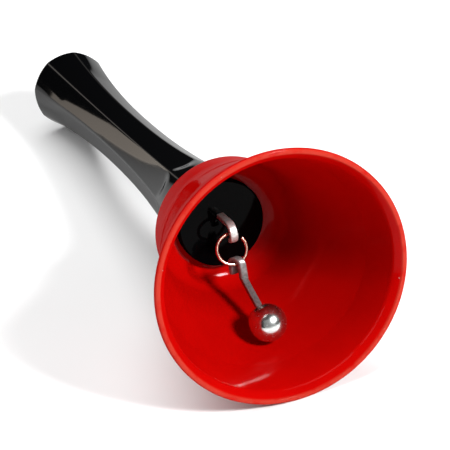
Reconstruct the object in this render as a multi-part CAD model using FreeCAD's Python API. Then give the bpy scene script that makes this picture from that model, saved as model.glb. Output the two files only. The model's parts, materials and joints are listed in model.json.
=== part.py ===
import FreeCAD, Part
import math
import os

# Hand bell: a pressed steel cup, a moulded grip, and a clapper on a jump ring.
# The bell lies on its side on the plane Z = 0, on its rim and on the end of its grip.
# Each piece is drawn about the bell's own axis and is laid down when it is written:
#   x = across, y = towards the ground, z = along the axis from the mouth to the end of the grip

Vector = FreeCAD.Vector
Rotation = FreeCAD.Rotation
ACROSS = Vector(1, 0, 0)
AXIS = Vector(0, 0, 1)
CENTRE = Vector(0, 0, 0)

# ---- overall sizes, mm
mouth_radius = 38.0
overall_length = 190.0

# ---- bell cup: pressed sheet, flared at the rim with its edge rolled over outwards
wall = 0.8
roll_width = 1.4
roll_height = 1.7
roll_round = 0.7
roll_overhang = 0.3
crest_round = 0.3
edge_height = 2.7
skirt_height = 11.2
body_height = 21.4
shoulder_height = 16.7
crown_radius = 20.2
edge_share_of_flare = 0.156
skirt_share_of_flare = 0.18
body_share_of_flare = 0.475
edge_bend_radius = 2.0
lip_bend_radius = 8.0
body_bend_radius = 45.0
crown_bend_radius = 8.0

# ---- clamp plug: a disc inside the crown with a spigot through it into the grip
disc_setback = 7.0
disc_thickness = 3.1
disc_edge_round = 0.5
spigot_radius = 6.0
spigot_length = 10.0
spigot_clearance = 0.1
socket_end_gap = 0.5

# ---- grip: eight-sided moulding that runs out round at both ends
grip_sides = 8
grip_turn = 7.0
collar_setback = 4.95
grip_waist_radius = 8.8
grip_end_radius = 12.8
grip_waist_share = 0.5695
collar_flare_power = 2.3
end_flare_power = 2.1
grip_end_round = 1.6
flat_bulge = 0.06
level_tolerance = 0.1

# ---- captive nut in the grip
nut_sides = 6
nut_across_flats = 8.0
nut_thickness = 4.0
nut_depth = 3.0
stud_radius = 2.5
stud_bore_clearance = 0.3
stud_past_nut = 2.0

# ---- hanger: flat bar bent to a hook, its headed root held in the plug
bar_width = 2.4
bar_thickness = 1.4
bar_edge_round = 0.4
hook_clearance = 1.4
hook_reach = 10.5
hook_turn = 190.0
root_cover = 2.0
root_depth = 1.5
root_thickness = 2.5

# ---- jump ring: round wire with an open joint, sprung a little to one side
ring_radius = 4.5
ring_wire_radius = 0.5
ring_seat_gap = 0.75
ring_hang_angle = 21.0
ring_side_offset = 1.1
ring_joint_angle = 42.0
ring_joint_opening = 18.0

# ---- clapper: flat eye folded over the ring, square rod, steel ball
eye_clearance = 0.5
eye_thickness = 1.2
eye_width = 2.1
eye_front_leg = 4.8
eye_back_leg = 3.6
eye_side_step = 1.7
rod_side = 1.9
rod_edge_round = 0.3
ball_radius = 5.6
ball_station = 20.9
ball_wall_gap = 0.4
rod_in_ball = 2.5

# ---- sizes and places that follow
flare = mouth_radius - crown_radius
edge_radius = mouth_radius - flare * edge_share_of_flare
lip_radius = edge_radius - flare * skirt_share_of_flare
body_radius = lip_radius - flare * body_share_of_flare
lip_height = edge_height + skirt_height
disc_radius = crown_radius - disc_setback
collar_radius = crown_radius - collar_setback
root_radius = spigot_radius - root_cover
hook_inner_radius = ring_wire_radius + hook_clearance
eye_inner_radius = ring_wire_radius + eye_clearance
crown_height = lip_height + body_height + shoulder_height
crown_inside = crown_height - wall
disc_face = crown_inside - disc_thickness
socket_end = crown_inside + spigot_length + socket_end_gap
nut_base = socket_end + nut_depth
grip_length = overall_length - crown_height


def along(a, b):
    """Unit vector from a to b."""
    step = b - a
    return step * (1.0 / step.Length)


def line(a, b):
    return Part.LineSegment(a, b).toShape()


def rounded_outline(corners):
    """Closed outline through (point, radius) corners; a radius of 0 leaves a corner sharp."""
    arcs = []
    for index, (corner, radius) in enumerate(corners):
        before = along(corner, corners[index - 1][0])
        after = along(corner, corners[(index + 1) % len(corners)][0])
        if radius == 0:
            arcs.append((corner, None, corner))
            continue
        half = before.getAngle(after) / 2
        cut = radius / math.tan(half)
        centre = arc_centre(corner, before, after, radius)
        nearest = centre + along(centre, corner) * radius
        arcs.append((corner + before * cut, nearest, corner + after * cut))
    edges = []
    for index, (start, middle, end) in enumerate(arcs):
        if middle is not None:
            edges.append(Part.Arc(start, middle, end).toShape())
        edges.append(line(end, arcs[(index + 1) % len(arcs)][0]))
    return Part.Wire(edges)


def arc_centre(corner, before, after, radius):
    """Centre of the round at a corner, from the unit vectors along its two sides."""
    half = before.getAngle(after) / 2
    middle_way = before + after
    return corner + middle_way * (radius / math.sin(half) / middle_way.Length)


def turned(outline, angle=360.0, base=CENTRE, axis=AXIS):
    return Part.Face(outline).revolve(base, axis, angle)


def inset(points, depth):
    """The points of an open outline, moved towards its left-hand side by a constant depth."""
    normals = []
    for a, b in zip(points, points[1:]):
        run = along(a, b)
        normals.append(Vector(-run.z, 0, run.x))
    moved = [points[0] + normals[0] * depth]
    for point, first, second in zip(points[1:], normals, normals[1:]):
        moved.append(point + (first + second) * (depth / (1 + first.dot(second))))
    moved.append(points[-1] + normals[-1] * depth)
    return moved


def at_height(a, b, height):
    """The point at a height on the straight line through a and b."""
    return a + (b - a) * ((height - a.z) / (b.z - a.z))


# ---- outline of the cup's outside and inside, from the rim to the hole in the crown
outside = [
    Vector(mouth_radius - roll_overhang, 0, 0),
    Vector(edge_radius, 0, edge_height),
    Vector(lip_radius, 0, lip_height),
    Vector(body_radius, 0, lip_height + body_height),
    Vector(crown_radius, 0, crown_height),
    Vector(spigot_radius + spigot_clearance, 0, crown_height),
]
inside = inset(outside, wall)
crest = Vector(mouth_radius - roll_width, 0, 0)


def bell_cup():
    return turned(rounded_outline([
        (Vector(mouth_radius, 0, 0), roll_round),
        (Vector(mouth_radius, 0, roll_height), roll_round),
        (at_height(outside[0], outside[1], roll_height), 0),
        (outside[1], edge_bend_radius),
        (outside[2], lip_bend_radius),
        (outside[3], body_bend_radius),
        (outside[4], crown_bend_radius),
        (outside[5], 0),
        (inside[5], 0),
        (inside[4], crown_bend_radius - wall),
        (inside[3], body_bend_radius + wall),
        (inside[2], lip_bend_radius - wall),
        (inside[1], edge_bend_radius + wall),
        (crest, crest_round),
    ]))


def clamp_plug():
    plug = turned(rounded_outline([
        (Vector(0, 0, disc_face), 0),
        (Vector(disc_radius, 0, disc_face), disc_edge_round),
        (Vector(disc_radius, 0, crown_inside), 0),
        (Vector(spigot_radius, 0, crown_inside), 0),
        (Vector(spigot_radius, 0, crown_inside + spigot_length), 0),
        (Vector(0, 0, crown_inside + spigot_length), 0),
    ]))
    return plug.cut(hanger_hook())


# ---- grip
grip_waist_height = crown_height + grip_length * grip_waist_share


def grip_radius(height):
    """Radius over the ridges: a narrow waist that flares to the collar and to the end."""
    if height < grip_waist_height:
        share = (grip_waist_height - height) / (grip_waist_height - crown_height)
        return grip_waist_radius + (collar_radius - grip_waist_radius) * share ** collar_flare_power
    share = (height - grip_waist_height) / (overall_length - grip_waist_height)
    return grip_waist_radius + (grip_end_radius - grip_waist_radius) * share ** end_flare_power


def grip_section(share, roundness):
    """Eight arcs on one ring; a roundness of 1 makes them one circle, and 0 makes flat sides."""
    height = crown_height + grip_length * share
    radius = grip_radius(height)
    half_side = math.pi / grip_sides
    bulge_radius = radius * (math.cos(half_side) * (1 - roundness) + roundness)
    edges = []
    for side in range(grip_sides):
        start_angle = math.radians(grip_turn) + (2 * side - 1) * half_side
        places = []
        for angle, reach in (
            (start_angle, radius),
            (start_angle + half_side, bulge_radius),
            (start_angle + 2 * half_side, radius),
        ):
            places.append(Vector(reach * math.sin(angle), reach * math.cos(angle), height))
        edges.append(Part.Arc(*places).toShape())
    return Part.Wire(edges)


def grip_sections():
    stations = (
        (0.0, 1.0),
        (0.07, 1.0),
        (0.15, 0.9),
        (0.22, 0.4),
        (0.30, flat_bulge),
        (0.45, flat_bulge),
        (0.60, flat_bulge),
        (0.75, flat_bulge),
        (0.88, 0.25),
        (0.96, 0.7),
        (1.0, 1.0),
    )
    return [grip_section(share, roundness) for share, roundness in stations]


def grip():
    body = Part.makeLoft(grip_sections(), True, False)
    end_edges = []
    for edge in body.Edges:
        is_level = edge.BoundBox.ZLength < level_tolerance
        is_at_end = abs(edge.CenterOfMass.z - overall_length) < level_tolerance
        if is_level and is_at_end:
            end_edges.append(edge)
    body = body.makeFillet(grip_end_round, end_edges)
    socket = Part.makeCylinder(
        spigot_radius + spigot_clearance, socket_end - crown_height, Vector(0, 0, crown_height))
    stud_bore = Part.makeCylinder(
        stud_radius + stud_bore_clearance,
        stud_end() + socket_end_gap - crown_height,
        Vector(0, 0, crown_height))
    nut_pocket = nut_blank()
    return body.cut(socket).cut(stud_bore).cut(nut_pocket)


def nut_blank():
    """Prism of the nut, with no hole in it."""
    corner_radius = nut_across_flats / 2 / math.cos(math.pi / nut_sides)
    corners = []
    for side in range(nut_sides):
        angle = side * math.tau / nut_sides
        corners.append(Vector(corner_radius * math.cos(angle), corner_radius * math.sin(angle), nut_base))
    outline = Part.makePolygon(corners + corners[:1])
    return Part.Face(outline).extrude(AXIS * nut_thickness)


def captive_nut():
    hole = Part.makeCylinder(stud_radius, nut_thickness, Vector(0, 0, nut_base))
    return nut_blank().cut(hole)


# ---- hanger
def stud_end():
    return nut_base + nut_thickness + stud_past_nut


hook_mid_radius = hook_inner_radius + bar_thickness / 2
hook_centre = Vector(0, 0, disc_face - hook_reach + hook_inner_radius + bar_thickness)


def bar_section(centre, width, thickness, edge_round):
    """Rounded rectangle across the bar, in a plane at right angles to the bell's axis."""
    half_width = width / 2
    half_thickness = thickness / 2
    corners = []
    for side_x, side_y in ((1, -1), (1, 1), (-1, 1), (-1, -1)):
        corners.append((centre + Vector(side_x * half_width, side_y * half_thickness, 0), edge_round))
    return rounded_outline(corners)


def hanger_hook():
    section = bar_section(
        hook_centre + Vector(0, -hook_mid_radius, 0), bar_width, bar_thickness, bar_edge_round)
    shank_length = disc_face + root_depth - hook_centre.z
    shank = Part.Face(section).extrude(AXIS * shank_length)
    bend = turned(section, hook_turn, hook_centre, ACROSS)
    root = Part.makeCylinder(root_radius, root_thickness, Vector(0, 0, disc_face + root_depth))
    stud_base = disc_face + root_depth
    stud = Part.makeCylinder(stud_radius, stud_end() - stud_base, Vector(0, 0, stud_base))
    return shank.fuse([bend, root, stud]).removeSplitter()


# ---- jump ring: hangs in the hook, and its lowest point carries the clapper
hang = Vector(0, math.cos(math.radians(ring_hang_angle)), -math.sin(math.radians(ring_hang_angle)))
ring_pivot = hook_centre + hang * (hook_inner_radius - ring_wire_radius - ring_seat_gap)
ring_centre_drop = math.sqrt(ring_radius ** 2 - ring_side_offset ** 2)
ring_centre = ring_pivot + hang * ring_centre_drop - ACROSS * ring_side_offset
clapper_pivot = ring_centre + hang * ring_radius


def jump_ring():
    normal = ACROSS.cross(hang)
    start = math.radians(ring_joint_angle + ring_joint_opening / 2)
    spoke = ACROSS * math.cos(start) - hang * math.sin(start)
    wire_centre = ring_centre + spoke * ring_radius
    tangent = normal.cross(spoke)
    section = Part.Wire(Part.makeCircle(ring_wire_radius, wire_centre, tangent))
    return turned(section, -(360 - ring_joint_opening), ring_centre, normal)


# ---- clapper
eye_mid_radius = eye_inner_radius + eye_thickness / 2
front_leg_top = Vector(0, clapper_pivot.y, clapper_pivot.z - eye_mid_radius)
rod_start = front_leg_top + Vector(0, eye_front_leg, 0)
body_run = along(inside[2], inside[3])
wall_normal = Vector(-body_run.z, 0, body_run.x)


def ball_centre():
    """The ball lies on the body's lowest inside line, a small gap off the wall."""
    stand_off = ball_radius + ball_wall_gap
    touching = inside[2] + wall_normal * stand_off
    place = touching + body_run * ((ball_station - touching.z) / body_run.z)
    return Vector(0, place.x, ball_station)


def side_step_matrix():
    """Shear that sets the eye's back leg beside its front leg."""
    step = eye_side_step / (2 * eye_mid_radius)
    shear = FreeCAD.Matrix()
    shear.A13 = -step
    shear.A14 = step * front_leg_top.z
    return shear


def clapper_rod():
    arch_centre = Vector(0, clapper_pivot.y, clapper_pivot.z)
    front_place = Vector(0, arch_centre.y, arch_centre.z - eye_mid_radius)
    back_place = Vector(0, arch_centre.y, arch_centre.z + eye_mid_radius)
    front_section = leg_section(front_place)
    arch = turned(front_section, -180, arch_centre, ACROSS)
    front_leg = Part.Face(front_section).extrude(Vector(0, eye_front_leg, 0))
    back_leg = Part.Face(leg_section(back_place)).extrude(Vector(0, eye_back_leg, 0))
    eye = arch.fuse([front_leg, back_leg]).removeSplitter()
    eye = eye.transformGeometry(side_step_matrix())
    return eye.fuse(rod_bar())


def leg_section(centre):
    """Rounded rectangle across a leg of the eye, in a plane level with the bell's axis."""
    half_width = eye_width / 2
    half_thickness = eye_thickness / 2
    corners = []
    for side_x, side_z in ((1, -1), (1, 1), (-1, 1), (-1, -1)):
        corner = centre + Vector(side_x * half_width, 0, side_z * half_thickness)
        corners.append((corner, bar_edge_round))
    return rounded_outline(corners)


def rod_bar():
    ball = ball_centre()
    run = along(rod_start, ball)
    length = (ball - rod_start).Length - ball_radius + rod_in_ball
    section = bar_section(CENTRE, rod_side, rod_side, rod_edge_round)
    rod = Part.Face(section).extrude(AXIS * (length + rod_side / 2))
    rod.Placement = FreeCAD.Placement(rod_start - run * (rod_side / 2), Rotation(AXIS, run))
    return rod


def clapper_ball():
    return Part.makeSphere(ball_radius, ball_centre()).cut(rod_bar())


# ---- how the bell lies: its rim and the end of its grip both touch the ground
def resting_place():
    """Turn and shift that lay the bell down with its box's bottom centre at the origin."""
    rim = Vector(mouth_radius - roll_round, 0, roll_round)
    end_round = Vector(grip_end_radius - grip_end_round, 0, overall_length - grip_end_round)
    span = end_round - rim
    slope = math.atan2(-span.x, span.z)
    tilt = slope + math.asin((roll_round - grip_end_round) / math.hypot(span.x, span.z))
    low_y = rim.z * math.cos(tilt) - rim.x * math.sin(tilt) - roll_round
    high_y = end_round.z * math.cos(tilt) + end_round.x * math.sin(tilt) + grip_end_round
    ground = rim.z * math.sin(tilt) + rim.x * math.cos(tilt) + roll_round
    turn = Rotation(ACROSS, -90 - math.degrees(tilt))
    return FreeCAD.Placement(Vector(0, -(low_y + high_y) / 2, ground), turn)


pieces = {
    "bell_cup": bell_cup,
    "clamp_plug": clamp_plug,
    "grip": grip,
    "captive_nut": captive_nut,
    "hanger_hook": hanger_hook,
    "jump_ring": jump_ring,
    "clapper_rod": clapper_rod,
    "clapper_ball": clapper_ball,
}

os.makedirs("parts", exist_ok=True)
resting = resting_place()
for name, make in pieces.items():
    solid = make()
    solid.Placement = resting.multiply(solid.Placement)
    solid.exportStep("parts/" + name + ".step")
    box = solid.BoundBox
    print(name, solid.isValid(), len(solid.Solids), round(solid.Volume, 1),
          [round(v, 2) for v in (box.XMin, box.YMin, box.ZMin, box.XMax, box.YMax, box.ZMax)])
for name, place in (("ring pivot", ring_pivot), ("clapper pivot", clapper_pivot)):
    print(name, [round(v, 4) for v in resting.multVec(place)])
print("tilt", round(-90 - math.degrees(resting.Rotation.Angle) * resting.Rotation.Axis.x, 4))
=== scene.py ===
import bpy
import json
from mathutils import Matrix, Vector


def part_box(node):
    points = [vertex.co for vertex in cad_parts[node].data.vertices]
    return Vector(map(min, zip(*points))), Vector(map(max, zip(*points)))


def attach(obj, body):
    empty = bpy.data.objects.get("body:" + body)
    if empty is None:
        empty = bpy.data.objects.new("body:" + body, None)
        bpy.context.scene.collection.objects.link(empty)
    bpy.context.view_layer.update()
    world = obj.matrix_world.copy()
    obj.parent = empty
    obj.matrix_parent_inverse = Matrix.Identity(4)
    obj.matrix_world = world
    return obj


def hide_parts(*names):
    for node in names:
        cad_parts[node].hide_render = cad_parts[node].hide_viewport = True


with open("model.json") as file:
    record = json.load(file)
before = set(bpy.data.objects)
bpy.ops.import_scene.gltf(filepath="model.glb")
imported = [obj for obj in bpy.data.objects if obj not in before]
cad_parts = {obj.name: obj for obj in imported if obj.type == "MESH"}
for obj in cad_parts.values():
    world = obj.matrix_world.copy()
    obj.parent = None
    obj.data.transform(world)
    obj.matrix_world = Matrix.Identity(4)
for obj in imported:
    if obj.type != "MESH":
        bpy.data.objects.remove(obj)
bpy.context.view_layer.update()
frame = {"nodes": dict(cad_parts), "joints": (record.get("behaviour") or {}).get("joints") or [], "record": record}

import json
import math

import bmesh
import bpy
from mathutils import Matrix, Vector


# ======================================================================================
# Bell cup
# One deep-drawn sheet of steel with a domed crown. Its mouth is flared, and the edge is rolled
# over outwards. It is dipped in red enamel inside and out, and bored for the clamp plug.
# ======================================================================================

MM = 0.001

# The bell's own axes: x across it, y to the ground, z from the mouth to the end of the grip.
mounts = {mount["name"]: mount for mount in frame["record"]["mounts"]}
mouth_way = Vector(mounts["rim_rest"]["axis"]).normalized()
rim_point = Vector(mounts["rim_rest"]["pos_m"])
grip_point = Vector(mounts["hand_grip"]["pos_m"])
mouth_centre = grip_point + mouth_way * (rim_point - grip_point).dot(mouth_way)
bell_axis = -mouth_way
across = Vector((1, 0, 0))
groundwards = bell_axis.cross(across)
lying = Matrix((across, groundwards, bell_axis)).transposed().to_4x4()
lying.translation = mouth_centre
standing = lying.inverted()

mouth_radius = 38.0 * MM
crown_radius = 20.2 * MM
flare = mouth_radius - crown_radius
edge_share_of_flare = 0.156
lip_share_of_flare = 0.18
body_share_of_flare = 0.475
edge_radius = mouth_radius - flare * edge_share_of_flare
lip_radius = edge_radius - flare * lip_share_of_flare
body_radius = lip_radius - flare * body_share_of_flare
edge_height = 2.7 * MM
lip_height = 13.9 * MM
body_height = 35.3 * MM
crown_height = 52.0 * MM
crown_hole_radius = 6.1 * MM
sheet = 0.8 * MM
roll_height = 1.7 * MM
roll_round = 0.7 * MM
roll_overhang = 0.3 * MM
roll_fillet = 0.2 * MM
crest_radius = 36.6 * MM
crest_round = 0.25 * MM
edge_bend = 2.0 * MM
lip_bend = 6.0 * MM
body_bend = 45.0 * MM
crown_bend = 8.0 * MM
cup_steps = 256


def along(a, b):
    return (b - a).normalized()


def inset(points, depth):
    """The points of an open outline, moved towards its left-hand side by a constant depth."""
    normals = []
    for a, b in zip(points, points[1:]):
        run = along(a, b)
        normals.append(Vector((-run.z, 0, run.x)))
    moved = [points[0] + normals[0] * depth]
    for point, first, second in zip(points[1:], normals, normals[1:]):
        moved.append(point + (first + second) * (depth / (1 + first.dot(second))))
    moved.append(points[-1] + normals[-1] * depth)
    return moved


def at_height(a, b, height):
    return a + (b - a) * ((height - a.z) / (b.z - a.z))


def rounded_face(bm, corners):
    """A flat face through (point, radius, segments) corners, each rounded by a bevel."""
    verts = [bm.verts.new(point) for point, radius, segments in corners]
    bm.faces.new(verts)
    points = [point for point, radius, segments in corners]
    for index, (vert, (point, radius, segments)) in enumerate(zip(verts, corners)):
        if radius == 0:
            continue
        before = along(point, points[index - 1])
        after = along(point, points[(index + 1) % len(points)])
        cut = radius / math.tan(before.angle(after) / 2)
        bmesh.ops.bevel(
            bm, geom=[vert], offset=cut, offset_type="ABSOLUTE", segments=segments,
            profile=0.5, affect="VERTICES", material=-1)
    return bm.faces[:]


def turn_about_axis(bm, steps):
    """Spins the open or closed outline in bm once round the bell's axis."""
    bmesh.ops.delete(bm, geom=bm.faces[:], context="FACES_ONLY")
    bmesh.ops.spin(
        bm, geom=bm.verts[:] + bm.edges[:], cent=(0, 0, 0), axis=(0, 0, 1),
        angle=math.tau, steps=steps, use_merge=True, use_duplicate=False)
    bmesh.ops.remove_doubles(bm, verts=bm.verts[:], dist=0.002 * MM)
    bmesh.ops.recalc_face_normals(bm, faces=bm.faces[:])


def make_piece(bm, name, body, material, nodes, crisp=35.0):
    """Lays the mesh down with the bell and hands it over as a finished piece."""
    bmesh.ops.transform(bm, matrix=lying, verts=bm.verts[:])
    mesh = bpy.data.meshes.new(name)
    bm.to_mesh(mesh)
    bm.free()
    for polygon in mesh.polygons:
        polygon.use_smooth = True
    mesh.set_sharp_from_angle(angle=math.radians(crisp))
    piece = bpy.data.objects.new(name, mesh)
    bpy.context.scene.collection.objects.link(piece)
    mesh.materials.append(material)
    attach(piece, body)
    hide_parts(*nodes)


class Finish:
    """A material under construction: its nodes are added one by one and linked by socket name."""

    def __init__(self, name, colour, roughness, metallic=0.0):
        self.material = bpy.data.materials.new(name)
        self.material.use_nodes = True
        self.tree = self.material.node_tree
        self.shader = self.tree.nodes["Principled BSDF"]
        self.shader.inputs["Base Color"].default_value = (*colour, 1)
        self.shader.inputs["Roughness"].default_value = roughness
        self.shader.inputs["Metallic"].default_value = metallic

    def add(self, kind, inputs=(), **settings):
        node = self.tree.nodes.new(kind)
        for key, value in settings.items():
            setattr(node, key, value)
        for socket, value in dict(inputs).items():
            if isinstance(value, bpy.types.NodeSocket):
                self.tree.links.new(value, node.inputs[socket])
            else:
                node.inputs[socket].default_value = value
        return node

    def place(self):
        """Position on the bell's own axes, so a pattern follows the bell however it lies."""
        here = self.add("ShaderNodeTexCoord").outputs["Object"]
        turn = standing.to_euler()
        return self.add(
            "ShaderNodeMapping",
            {"Vector": here, "Location": standing.translation, "Rotation": turn},
            vector_type="POINT").outputs["Vector"]

    def noise(self, vector, scale, detail=2.0, roughness=0.5):
        return self.add(
            "ShaderNodeTexNoise",
            {"Vector": vector, "Scale": scale, "Detail": detail, "Roughness": roughness}
        ).outputs["Fac"]

    def span(self, value, low, high, to_low=0.0, to_high=1.0):
        return self.add(
            "ShaderNodeMapRange",
            {"Value": value, "From Min": low, "From Max": high, "To Min": to_low, "To Max": to_high}
        ).outputs["Result"]

    def math(self, operation, a, b=0.0):
        return self.add("ShaderNodeMath", {0: a, 1: b}, operation=operation).outputs[0]

    def blend(self, factor, first, second):
        """Mixes two colours. The node's colours are its inputs 6 and 7, and its output 2."""
        node = self.add("ShaderNodeMix", data_type="RGBA")
        self.tree.links.new(factor, node.inputs[0])
        for socket, value in ((6, first), (7, second)):
            if isinstance(value, bpy.types.NodeSocket):
                self.tree.links.new(value, node.inputs[socket])
            else:
                node.inputs[socket].default_value = (*value, 1)
        return node.outputs[2]

    def feed(self, socket, value):
        self.tree.links.new(value, self.shader.inputs[socket])

    def bump(self, height, strength, distance):
        node = self.add(
            "ShaderNodeBump", {"Height": height, "Strength": strength, "Distance": distance})
        self.feed("Normal", node.outputs["Normal"])


enamel_red = (0.36, 0.001, 0.0006)
enamel_deep = (0.31, 0.0007, 0.0005)
enamel_thin = (0.36, 0.024, 0.014)
bare_steel = (0.30, 0.27, 0.25)


def red_enamel():
    finish = Finish("red_enamel", enamel_red, 0.16)
    place = finish.place()
    height = finish.add("ShaderNodeSeparateXYZ", {"Vector": place}).outputs["Z"]
    cloud = finish.span(finish.noise(place, scale=45.0, detail=3.0), 0.35, 0.7)
    body = finish.blend(cloud, enamel_red, enamel_deep)
    edge = finish.span(height, 0.5 * MM, 0.0)
    wear = finish.span(finish.noise(place, scale=260.0, detail=3.0), 0.25, 0.5)
    worn = finish.math("MULTIPLY", edge, wear)
    rimmed = finish.blend(worn, body, enamel_thin)
    nick = finish.span(finish.noise(place, scale=420.0, detail=4.0, roughness=0.7), 0.70, 0.72)
    chipped = finish.math("MULTIPLY", nick, finish.span(height, 0.9 * MM, 0.3 * MM))
    finish.feed("Base Color", finish.blend(chipped, rimmed, bare_steel))
    smear = finish.noise(place, scale=120.0, detail=4.0, roughness=0.6)
    finish.feed("Roughness", finish.span(smear, 0.3, 0.7, to_low=0.26, to_high=0.38))
    finish.shader.inputs["Coat IOR"].default_value = 1.6
    finish.shader.inputs["Specular IOR Level"].default_value = 0.0
    finish.shader.inputs["Coat Weight"].default_value = 0.07
    finish.shader.inputs["Coat Roughness"].default_value = 0.07
    peel = finish.noise(place, scale=150.0, detail=2.0)
    finish.bump(peel, strength=0.05, distance=0.15 * MM)
    return finish.material


outside = [
    Vector((mouth_radius - roll_overhang, 0, 0)),
    Vector((edge_radius, 0, edge_height)),
    Vector((lip_radius, 0, lip_height)),
    Vector((body_radius, 0, body_height)),
    Vector((crown_radius, 0, crown_height)),
    Vector((crown_hole_radius, 0, crown_height)),
]
inside = inset(outside, sheet)
enamel = red_enamel()
bm = bmesh.new()
rounded_face(bm, [
    (Vector((mouth_radius, 0, 0)), roll_round, 8),
    (Vector((mouth_radius, 0, roll_height)), roll_round, 8),
    (at_height(outside[0], outside[1], roll_height), roll_fillet, 3),
    (outside[1], edge_bend, 6),
    (outside[2], lip_bend, 5),
    (outside[3], body_bend, 12),
    (outside[4], crown_bend, 20),
    (outside[5], 0, 1),
    (inside[5], 0, 1),
    (inside[4], crown_bend - sheet, 20),
    (inside[3], body_bend + sheet, 12),
    (inside[2], lip_bend - sheet, 5),
    (inside[1], edge_bend + sheet, 6),
    (Vector((crest_radius, 0, 0)), crest_round, 4),
])
turn_about_axis(bm, cup_steps)
make_piece(bm, "bell_cup_enamelled", "bell", enamel, ["bell_cup"])


# ======================================================================================
# Clamp plug
# A polished black moulding: a disc that sits inside the crown, and a spigot behind it that
# passes through the cup and is drawn up into the grip.
# ======================================================================================

disc_radius = 13.2 * MM
disc_thickness = 3.1 * MM
spigot_radius = 6.0 * MM
spigot_length = 10.0 * MM
crown_inside = crown_height - sheet
disc_face = crown_inside - disc_thickness
disc_edge_round = 0.5 * MM
spigot_edge_round = 0.3 * MM
plug_steps = 128
plug_gloss = 0.05
moulded_black = (0.0008, 0.0008, 0.001)


def black_moulding(name, gloss):
    finish = Finish(name, moulded_black, 0.1)
    place = finish.place()
    haze = finish.noise(place, scale=90.0, detail=5.0, roughness=0.65)
    finish.feed("Roughness", finish.span(haze, 0.3, 0.75, to_low=0.06, to_high=0.16))
    finish.shader.inputs["Specular IOR Level"].default_value = 0.0
    finish.shader.inputs["Coat Weight"].default_value = gloss
    finish.shader.inputs["Coat Roughness"].default_value = 0.05
    finish.bump(finish.noise(place, scale=260.0, detail=2.0), strength=0.06, distance=0.1 * MM)
    return finish


bm = bmesh.new()
rounded_face(bm, [
    (Vector((0, 0, disc_face)), 0, 1),
    (Vector((disc_radius, 0, disc_face)), disc_edge_round, 6),
    (Vector((disc_radius, 0, crown_inside)), 0, 1),
    (Vector((spigot_radius, 0, crown_inside)), 0, 1),
    (Vector((spigot_radius, 0, crown_inside + spigot_length)), spigot_edge_round, 3),
    (Vector((0, 0, crown_inside + spigot_length)), 0, 1),
])
turn_about_axis(bm, plug_steps)
plug_black = black_moulding("black_plug", plug_gloss).material
make_piece(bm, "clamp_plug_polished", "bell", plug_black, ["clamp_plug"])


# ======================================================================================
# Grip
# A one-piece black moulding, eight-sided with a narrow waist, running out round at its
# collar and at its end. Two of its ridges carry the mould's parting line and stay sharp.
# ======================================================================================

overall_length = 190.0 * MM
end_trim = 0.05 * MM
collar_radius = 15.25 * MM
grip_waist_radius = 8.8 * MM
grip_end_radius = 12.8 * MM
grip_waist_share = 0.5695
grip_end_round = 1.7 * MM
grip_turn = math.radians(7.0)
grip_length = overall_length - crown_height - end_trim
grip_waist_height = crown_height + grip_length * grip_waist_share
sides = 8
points_per_side = 12
parting_ridge = 0
# Greys laid along the ridges: partly handling wear, partly a painted highlight for the light lines on the ridges.
ridge_wear_and_sheen_grey = (0.02, 0.019, 0.018)
parting_wear_and_sheen_grey = (0.06, 0.055, 0.05)
ridge_half_line = 0.045
parting_half_line = 0.028
soft_ridge_round = 0.45 * MM
parting_ridge_round = 0.12 * MM
grip_gloss = 0.4
grip_rings = 110
collar_flare_power = 2.3
end_flare_power = 2.1
arch_crown = 0.1
arch_drop = 0.03
arch_blend = 0.05
end_start = 0.76
end_blend = 0.24
end_roundness = 0.75
flat_roundness = 0.22


def grip_radius(height):
    """Radius over the ridges: a narrow waist that flares to the collar and to the end."""
    if height < grip_waist_height:
        share = (grip_waist_height - height) / (grip_waist_height - crown_height)
        return grip_waist_radius + (collar_radius - grip_waist_radius) * share ** collar_flare_power
    share = (height - grip_waist_height) / (crown_height + grip_length - grip_waist_height)
    return grip_waist_radius + (grip_end_radius - grip_waist_radius) * share ** end_flare_power


def eased(value):
    value = min(max(value, 0.0), 1.0)
    return value * value * (3 - 2 * value)


def grip_roundness(share, off_middle):
    """1 where the grip is round, near 0 on its flats. Each flat ends in an arch at the collar."""
    arch = arch_crown + arch_drop * off_middle ** 2
    at_collar = 1 - eased((share - arch) / arch_blend)
    at_end = end_roundness * eased((share - end_start) / end_blend)
    return max(at_collar, at_end, flat_roundness)


def shape_grip_ring(verts, share):
    """Moves a ring of vertices on to the eight-sided section at a share of the grip's length."""
    height = crown_height + grip_length * share
    radius = grip_radius(height)
    half_side = math.pi / sides
    for vert in verts:
        angle = math.atan2(vert.co.x, vert.co.y)
        from_middle = (angle - grip_turn + half_side) % (2 * half_side) - half_side
        roundness = grip_roundness(share, abs(from_middle) / half_side)
        flat = math.cos(half_side) / math.cos(from_middle)
        reach = radius * (flat * (1 - roundness) + roundness)
        vert.co = Vector((reach * math.sin(angle), reach * math.cos(angle), height))


def edges_among(geometry):
    """The edges of a piece of geometry whose two ends both belong to it."""
    verts = {item for item in geometry if isinstance(item, bmesh.types.BMVert)}
    return [item for item in geometry if isinstance(item, bmesh.types.BMEdge)
            and item.verts[0] in verts and item.verts[1] in verts]


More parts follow.
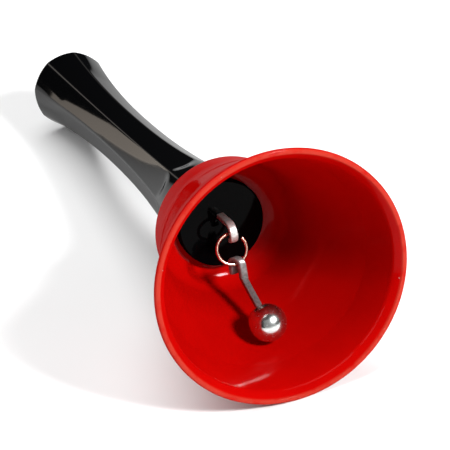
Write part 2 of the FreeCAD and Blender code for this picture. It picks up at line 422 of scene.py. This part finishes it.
bm = bmesh.new()
bmesh.ops.create_circle(
    bm, cap_ends=False, segments=sides * points_per_side, radius=collar_radius,
    matrix=Matrix.Rotation(math.pi / sides - grip_turn, 4, "Z"))
ring_verts = bm.verts[:]
ring_edges = bm.edges[:]
shape_grip_ring(ring_verts, 0.0)
first_ring = ring_edges
for ring in range(1, grip_rings + 1):
    grown = bmesh.ops.extrude_edge_only(bm, edges=ring_edges)["geom"]
    ring_verts = [item for item in grown if isinstance(item, bmesh.types.BMVert)]
    ring_edges = edges_among(grown)
    shape_grip_ring(ring_verts, ring / grip_rings)
bmesh.ops.edgeloop_fill(bm, edges=ring_edges)
bmesh.ops.edgeloop_fill(bm, edges=first_ring)
bmesh.ops.recalc_face_normals(bm, faces=bm.faces[:])
bmesh.ops.bevel(
    bm, geom=ring_edges, offset=grip_end_round, offset_type="OFFSET", segments=7,
    profile=0.5, affect="EDGES", material=-1, clamp_overlap=True)
soft_ridges = []
parting_ridges = []
for edge in bm.edges:
    low, high = edge.verts
    turns = [(math.atan2(vert.co.x, vert.co.y) - grip_turn) / (math.tau / sides) - 0.5
             for vert in edge.verts]
    along_ridge = all(abs(turn - round(turn)) < 0.01 for turn in turns)
    if along_ridge and abs(low.co.z - high.co.z) > 0.2 * MM:
        is_parting = round(turns[0]) % (sides // 2) == parting_ridge
        (parting_ridges if is_parting else soft_ridges).append(edge)
for ridge_edges, ridge_round in (
        (soft_ridges, soft_ridge_round), (parting_ridges, parting_ridge_round)):
    bmesh.ops.bevel(
        bm, geom=ridge_edges, offset=ridge_round, offset_type="OFFSET", segments=3,
        profile=0.5, affect="EDGES", material=-1, clamp_overlap=True)


def grey_ridges_for_wear_and_sheen(finish):
    """Greys the ridges a little, and the two parting lines more: partly handling wear, partly a painted highlight
    that stands in for the light lines along the ridges.
    """
    across_grip = finish.add("ShaderNodeSeparateXYZ", {"Vector": finish.place()}).outputs
    turn = finish.math("ARCTAN2", across_grip["X"], across_grip["Y"])
    ridge = finish.math("DIVIDE", finish.math("SUBTRACT", turn, grip_turn), math.tau / sides)
    colour = moulded_black
    for gap, half_line, wear_and_sheen_grey in (
            (1, ridge_half_line, ridge_wear_and_sheen_grey), (sides // 2, parting_half_line, parting_wear_and_sheen_grey)):
        place = finish.math("DIVIDE", finish.math("SUBTRACT", ridge, 0.5 + parting_ridge), gap)
        beside = finish.math("SUBTRACT", place, finish.math("ROUND", place))
        off_ridge = finish.math("MULTIPLY", finish.math("ABSOLUTE", beside), gap)
        line = finish.span(off_ridge, half_line, 0.0)
        colour = finish.blend(line, colour, wear_and_sheen_grey)
    finish.feed("Base Color", colour)


grip_finish = black_moulding("black_moulding", grip_gloss)
grey_ridges_for_wear_and_sheen(grip_finish)
grip_black = grip_finish.material
make_piece(bm, "grip_moulded", "bell", grip_black, ["grip"], crisp=15.0)


# ======================================================================================
# Hanger hook and captive nut
# A dull zinc-plated flat bar bent to a hook. Its threaded stud runs through the plug and is
# screwed into the steel nut that is moulded into the grip.
# ======================================================================================

bar_width = 2.4 * MM
bar_thickness = 1.4 * MM
hook_inner_radius = 1.9 * MM
bar_edge_round = 0.4 * MM
hook_tip_round = 0.45 * MM
hook_reach = 10.5 * MM
root_depth = 1.5 * MM
hook_steps = 40
hook_turn = math.radians(190.0)
hook_mid_radius = hook_inner_radius + bar_thickness / 2
hook_centre = Vector((0, 0, disc_face - hook_reach + hook_inner_radius + bar_thickness))


def zinc_steel():
    finish = Finish("zinc_steel", (0.62, 0.61, 0.60), 0.36, 0.7)
    place = finish.place()
    mottle = finish.span(finish.noise(place, scale=900.0, detail=5.0, roughness=0.7), 0.3, 0.7)
    finish.feed("Base Color", finish.blend(mottle, (0.42, 0.43, 0.42), (0.80, 0.81, 0.79)))
    finish.feed("Roughness", finish.span(mottle, 0.0, 1.0, to_low=0.5, to_high=0.28))
    finish.bump(finish.noise(place, scale=1400.0, detail=3.0), strength=0.25, distance=0.05 * MM)
    return finish.material


def bar_loop(bm, centre, wide, thick, width, thickness, rounding, segments=4):
    """The edges of a rounded rectangle across a bar, and nothing else."""
    corners = []
    for side_wide, side_thick in ((1, -1), (1, 1), (-1, 1), (-1, -1)):
        corner = centre + wide * (side_wide * width / 2) + thick * (side_thick * thickness / 2)
        corners.append((corner, rounding, segments))
    faces = rounded_face(bm, corners)
    bmesh.ops.delete(bm, geom=faces, context="FACES_ONLY")
    return bm.edges[:]


def run_on(bm, edges, step):
    """Draws a closed loop of edges out along a straight step, and gives the new loop."""
    grown = bmesh.ops.extrude_edge_only(bm, edges=edges)["geom"]
    verts = [item for item in grown if isinstance(item, bmesh.types.BMVert)]
    bmesh.ops.translate(bm, vec=step, verts=verts)
    return edges_among(grown)


def bend_on(bm, edges, centre, axis, angle, steps):
    """Draws a closed loop of edges round a bend, and gives the new loop."""
    verts = list({vert for edge in edges for vert in edge.verts})
    grown = bmesh.ops.spin(
        bm, geom=verts + edges, cent=centre, axis=axis, angle=angle, steps=steps,
        use_merge=False, use_duplicate=False)["geom_last"]
    return edges_among(grown)


def cap_rounded(bm, edges, rounding, segments=3):
    """Closes a loop with a face and rounds the face's edge."""
    face = bmesh.ops.edgeloop_fill(bm, edges=edges)["faces"][0]
    bmesh.ops.bevel(
        bm, geom=face.edges[:], offset=rounding, offset_type="OFFSET", segments=segments,
        profile=0.5, affect="EDGES", material=-1, clamp_overlap=True)


zinc = zinc_steel()
bm = bmesh.new()
start = bar_loop(
    bm, hook_centre - Vector((0, hook_mid_radius, 0)), Vector((1, 0, 0)), Vector((0, 1, 0)),
    bar_width, bar_thickness, bar_edge_round)
tip = bend_on(bm, start, hook_centre, (1, 0, 0), hook_turn, hook_steps)
root = run_on(bm, start, Vector((0, 0, disc_face + root_depth - hook_centre.z)))
bmesh.ops.edgeloop_fill(bm, edges=root)
cap_rounded(bm, tip, hook_tip_round)
bmesh.ops.recalc_face_normals(bm, faces=bm.faces[:])
make_piece(bm, "hanger_hook_bent_bar", "bell", zinc, ["hanger_hook"])
for material_slot in frame["nodes"]["captive_nut"].material_slots:
    material_slot.material = zinc


# ======================================================================================
# Jump ring
# Copper-plated spring wire wound to one open turn. Its joint was opened with pliers to go
# over the hook and the clapper's eye, so its two ends no longer meet.
# ======================================================================================

ring_radius = 4.5 * MM
ring_wire_radius = 0.5 * MM
wire_end_round = 0.14 * MM
wire_sides = 20
ring_steps = 110
ring_joint_angle = math.radians(42.0)
ring_joint_opening = math.radians(18.0)
joints = {joint["name"]: joint for joint in frame["joints"]}
ring_pivot = standing @ Vector(joints["ring_swing"]["pos_m"])
clapper_pivot = standing @ Vector(joints["clapper_swing"]["pos_m"])
hang = Vector((0, clapper_pivot.y - ring_pivot.y, clapper_pivot.z - ring_pivot.z)).normalized()
ring_centre = clapper_pivot - hang * ring_radius


def copper_wire():
    finish = Finish("copper_wire", (0.80, 0.50, 0.38), 0.2, 1.0)
    place = finish.place()
    tone = finish.span(finish.noise(place, scale=500.0, detail=3.0), 0.3, 0.7)
    finish.feed("Base Color", finish.blend(tone, (0.62, 0.33, 0.24), (0.92, 0.68, 0.56)))
    finish.feed("Roughness", finish.span(tone, 0.0, 1.0, to_low=0.26, to_high=0.14))
    return finish.material


bm = bmesh.new()
ring_normal = Vector((1, 0, 0)).cross(hang)
joint_start = ring_joint_angle + ring_joint_opening / 2
spoke = Vector((1, 0, 0)) * math.cos(joint_start) - hang * math.sin(joint_start)
bmesh.ops.create_circle(bm, cap_ends=False, segments=wire_sides, radius=ring_wire_radius)
wire_turn = Matrix((spoke, ring_normal, spoke.cross(ring_normal))).transposed().to_4x4()
wire_turn.translation = ring_centre + spoke * ring_radius
bmesh.ops.transform(bm, matrix=wire_turn, verts=bm.verts[:])
first_end = bm.edges[:]
last_end = bend_on(
    bm, first_end, ring_centre, -ring_normal, math.tau - ring_joint_opening, ring_steps)
cap_rounded(bm, first_end, wire_end_round, 2)
cap_rounded(bm, last_end, wire_end_round, 2)
bmesh.ops.recalc_face_normals(bm, faces=bm.faces[:])
make_piece(bm, "jump_ring_sprung", "ring", copper_wire(), ["jump_ring"])


# ======================================================================================
# Clapper rod
# Drawn steel bar, square over its length, its top hammered flat and folded over the jump
# ring into an eye whose end lies beside the bar.
# ======================================================================================

eye_inner_radius = 1.0 * MM
eye_thickness = 1.2 * MM
eye_width = 2.1 * MM
eye_front_leg = 4.8 * MM
eye_back_leg = 3.6 * MM
eye_side_step = 1.7 * MM
eye_edge_round = 0.35 * MM
eye_back_round = 0.4 * MM
eye_front_round = 0.3 * MM
eye_steps = 28
rod_side = 1.9 * MM
rod_edge_round = 0.3 * MM
rod_end_round = 0.25 * MM
rod_in_ball = 2.5 * MM
ball_radius = 5.6 * MM
eye_mid_radius = eye_inner_radius + eye_thickness / 2
ball_low, ball_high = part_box("clapper_ball")
ball_centre = standing @ ((ball_low + ball_high) / 2)
arch_centre = Vector((0, clapper_pivot.y, clapper_pivot.z))
front_leg_top = arch_centre - Vector((0, 0, eye_mid_radius))
rod_start = front_leg_top + Vector((0, eye_front_leg, 0))


def dark_steel():
    finish = Finish("dark_steel", (0.22, 0.2, 0.21), 0.4, 0.7)
    place = finish.place()
    grain = finish.span(finish.noise(place, scale=1100.0, detail=4.0, roughness=0.7), 0.3, 0.7)
    finish.feed("Base Color", finish.blend(grain, (0.15, 0.145, 0.145), (0.34, 0.33, 0.33)))
    finish.feed("Roughness", finish.span(grain, 0.0, 1.0, to_low=0.5, to_high=0.3))
    finish.bump(finish.noise(place, scale=1500.0, detail=3.0), strength=0.25, distance=0.04 * MM)
    return finish.material


rod_steel = dark_steel()
bm = bmesh.new()
side_step = Matrix.Identity(4)
side_step[0][2] = -eye_side_step / (2 * eye_mid_radius)
side_step[0][3] = eye_side_step / (2 * eye_mid_radius) * front_leg_top.z
start = bar_loop(
    bm, front_leg_top, Vector((1, 0, 0)), Vector((0, 0, 1)), eye_width, eye_thickness,
    eye_edge_round)
arch_end = bend_on(bm, start, arch_centre, (1, 0, 0), -math.pi, eye_steps)
back_end = run_on(bm, arch_end, Vector((0, eye_back_leg, 0)))
front_end = run_on(bm, start, Vector((0, eye_front_leg, 0)))
cap_rounded(bm, back_end, eye_back_round)
cap_rounded(bm, front_end, eye_front_round)
bmesh.ops.transform(bm, matrix=side_step, verts=bm.verts[:])
run = along(rod_start, ball_centre)
thick = run.cross(Vector((1, 0, 0))).normalized()
rod = bmesh.new()
rod_low = bar_loop(
    rod, rod_start - run * (rod_side / 2), Vector((1, 0, 0)), thick, rod_side, rod_side,
    rod_edge_round)
rod_length = ball_centre - rod_start - run * (ball_radius - rod_in_ball - rod_side / 2)
rod_high = run_on(rod, rod_low, rod_length)
cap_rounded(rod, rod_low, rod_end_round)
bmesh.ops.edgeloop_fill(rod, edges=rod_high)
bar_mesh = bpy.data.meshes.new("rod_bar")
rod.to_mesh(bar_mesh)
rod.free()
bm.from_mesh(bar_mesh)
bmesh.ops.recalc_face_normals(bm, faces=bm.faces[:])
make_piece(bm, "clapper_rod_folded_eye", "clapper", rod_steel, ["clapper_rod"])


# ======================================================================================
# Clapper ball
# A solid steel ball, turned and polished. It is drilled, and pressed on to the end of the
# rod. Use leaves it finely scuffed.
# ======================================================================================


def ball_steel():
    finish = Finish("ball_steel", (0.56, 0.56, 0.57), 0.2, 1.0)
    place = finish.place()
    scuff = finish.span(finish.noise(place, scale=700.0, detail=5.0, roughness=0.75), 0.35, 0.7)
    finish.feed("Base Color", finish.blend(scuff, (0.72, 0.75, 0.73), (0.52, 0.54, 0.53)))
    finish.feed("Roughness", finish.span(scuff, 0.0, 1.0, to_low=0.16, to_high=0.3))
    finish.bump(finish.noise(place, scale=900.0, detail=3.0), strength=0.08, distance=0.04 * MM)
    return finish.material


bm = bmesh.new()
bmesh.ops.create_uvsphere(
    bm, u_segments=96, v_segments=48, radius=ball_radius, matrix=Matrix.Translation(ball_centre))
make_piece(bm, "clapper_ball_polished", "clapper", ball_steel(), ["clapper_ball"])


# ======================================================================================
# Floor, light and camera
# A pale seamless sheet. A small key lamp stands at the right front, a large soft box hangs
# overhead, weaker boxes fill from the left and the front, and a warm low panel stands behind
# at the left. A long lens looks down into the mouth.
# ======================================================================================

floor_size = 6.0
sky_colour = (0.9, 0.95, 1.0)
sky_strength = 0.03


def pale_floor():
    finish = Finish("pale_floor", (0.86, 0.86, 0.86), 0.6)
    place = finish.add("ShaderNodeTexCoord").outputs["Object"]
    mottle = finish.noise(place, scale=30.0)
    finish.feed("Roughness", finish.span(mottle, 0.3, 0.7, to_low=0.5, to_high=0.7))
    return finish.material


bm = bmesh.new()
bmesh.ops.create_grid(bm, x_segments=1, y_segments=1, size=floor_size / 2)
floor_mesh = bpy.data.meshes.new("floor")
bm.to_mesh(floor_mesh)
bm.free()
floor = bpy.data.objects.new("floor", floor_mesh)
bpy.context.scene.collection.objects.link(floor)
floor_mesh.materials.append(pale_floor())

scene = bpy.context.scene
scene.view_settings.view_transform = "Standard"
world = bpy.data.worlds.new("studio")
scene.world = world
world.use_nodes = True
world.node_tree.nodes["Background"].inputs["Color"].default_value = (*sky_colour, 1)
world.node_tree.nodes["Background"].inputs["Strength"].default_value = sky_strength


def softbox(name, way, distance, width, height, power, colour=(1, 1, 1)):
    """A soft lamp that hangs at a distance from the mouth and faces it."""
    light = bpy.data.lights.new(name, "AREA")
    light.shape = "RECTANGLE"
    light.size = width
    light.size_y = height
    light.energy = power
    light.color = colour
    box = bpy.data.objects.new(name, light)
    box.location = mouth_centre + Vector(way).normalized() * distance
    box.rotation_euler = (mouth_centre - box.location).to_track_quat("-Z", "Y").to_euler()
    scene.collection.objects.link(box)


softbox(
    "key", way=(0.40, -0.72, 0.62), distance=1.1, width=0.2, height=0.2, power=20.0)
softbox(
    "overhead", way=(-0.05, 0.25, 1.0), distance=1.5, width=1.6, height=1.4, power=24.0)
softbox(
    "left_wall", way=(-0.85, 0.1, 0.7), distance=1.4, width=1.0, height=0.8, power=7.0)
softbox(
    "front_wall", way=(-0.1, -0.95, 0.4), distance=1.5, width=2.0, height=1.6, power=3.0)
softbox(
    "back_panel", way=(-0.36, 0.93, 0.02), distance=1.3, width=0.5, height=0.12, power=0.5,
    colour=(1.0, 0.88, 0.76))

view_distance = 0.8618
view_azimuth = math.radians(-18.54)
view_elevation = math.radians(30.57)
view_roll = math.radians(-7.3)
view_aim = mouth_centre + Vector((-0.0039, 0.0332, 0.0018))
camera_data = bpy.data.cameras.new("camera")
camera_data.lens = 240.0
camera_data.sensor_width = 36.0
camera_data.clip_start = 0.05
camera_data.clip_end = 20.0
camera = bpy.data.objects.new("camera", camera_data)
scene.collection.objects.link(camera)
level = math.cos(view_elevation) * view_distance
camera.location = view_aim + Vector((
    math.sin(view_azimuth) * level,
    -math.cos(view_azimuth) * level,
    math.sin(view_elevation) * view_distance))
looking = (view_aim - camera.location).to_track_quat("-Z", "Y").to_matrix()
camera.rotation_euler = (looking @ Matrix.Rotation(view_roll, 3, "Z")).to_euler()
scene.camera = camera
